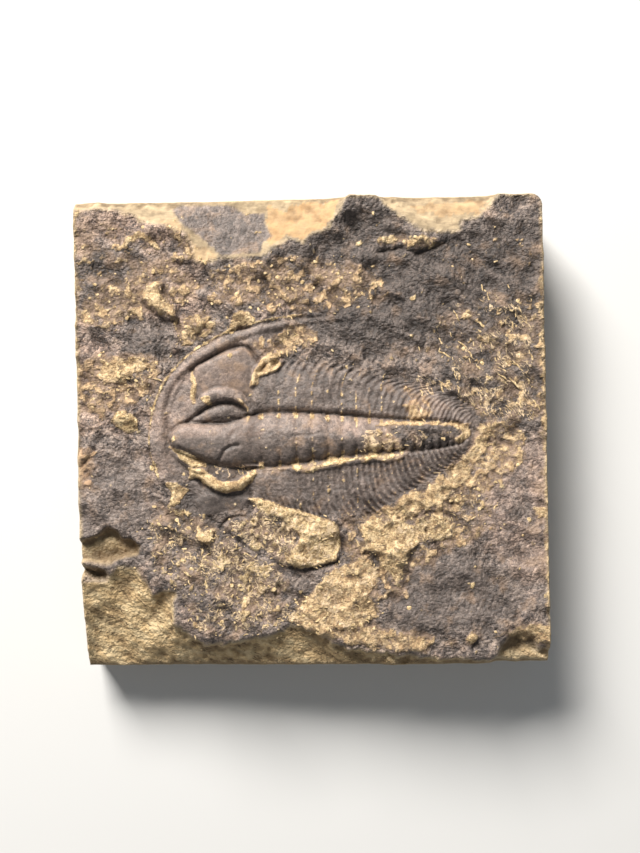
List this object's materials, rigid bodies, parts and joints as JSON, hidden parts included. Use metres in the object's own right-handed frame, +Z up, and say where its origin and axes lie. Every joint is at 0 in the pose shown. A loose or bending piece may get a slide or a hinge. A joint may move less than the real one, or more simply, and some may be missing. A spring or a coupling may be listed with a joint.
{
  "type": "trilobite fossil slab",
  "caption": "Square sawn stone slab with a trilobite lying in relief on its split upper face, broken rims and one chipped corner.",
  "frame": {"origin": "middle of the flat sawn underside", "axes": "+Z up through the split face that carries the fossil, +X from the head towards the tail, +Y across the animal towards its long cheek spine"},
  "size_m": [0.1, 0.1006, 0.023],
  "materials": {
    "stone": "matte"
  },
  "bodies": {
    "root": {"trilobite_slab": "stone"}
  },
  "joints": []
}
